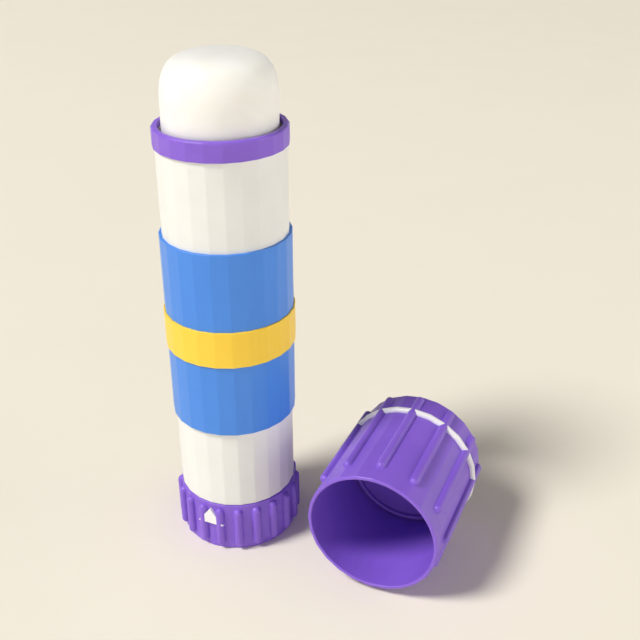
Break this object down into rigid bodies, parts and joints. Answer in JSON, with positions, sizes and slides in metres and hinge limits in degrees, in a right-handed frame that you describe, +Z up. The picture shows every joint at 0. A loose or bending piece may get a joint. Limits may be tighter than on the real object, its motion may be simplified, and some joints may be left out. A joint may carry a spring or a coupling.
{
  "type": "glue stick",
  "caption": "Upright twist-up stick of solid glue in a faceted barrel with a ribbed turning knob, its ribbed cap lying beside it.",
  "frame": {"origin": "on the stick's axis, in the plane of the knob's flat foot, which stands on the surface", "axes": "+Z up the stick towards the domed glue; -Y is the side of the direction mark; the cap lies at +X with its mouth towards -Y"},
  "size_m": [0.0621, 0.0319, 0.1006],
  "materials": {
    "white_barrel": "moulded white polypropylene, satin",
    "purple_moulding": "moulded purple polypropylene, satin",
    "blue_label": "smooth blue label film",
    "yellow_band": "smooth yellow label film",
    "white_mark": "moulded white plastic inlay",
    "natural_polypropylene": "natural unpainted moulding",
    "white_glue": "smooth waxy glue mass",
    "cap_liner": "moulded purple liner, satin"
  },
  "bodies": {
    "tube": {"body_tube": "white_barrel", "neck_collar": "purple_moulding", "label_sleeve": "blue_label", "label_band": "yellow_band"},
    "knob": {"base_knob": "purple_moulding", "direction_arrow": "white_mark", "drive_screw": "natural_polypropylene"},
    "carrier": {"carrier_cup": "natural_polypropylene", "glue_stick": "white_glue"},
    "cap": {"cap_shell": "purple_moulding", "cap_ring": "white_mark", "cap_seal": "cap_liner"}
  },
  "joints": [
    {"name": "knob_turn", "type": "hinge", "parent": "tube", "child": "knob", "pos_m": [0, 0, 0], "axis": [0, 0, -1], "range_deg": [-1072.8, 3340.8]},
    {"name": "carrier_rise", "type": "slide", "parent": "tube", "child": "carrier", "axis": [0, 0, 1], "range_m": [-0.0149, 0.0464]},
    {"name": "cap_lift", "type": "slide", "parent": "tube", "child": "cap", "axis": [0, 0, 1], "range_m": [0, 0.11]}
  ],
  "couplings": [
    {"joint": "knob_turn", "follows": "carrier_rise", "rad_per_m": 1256.6}
  ]
}
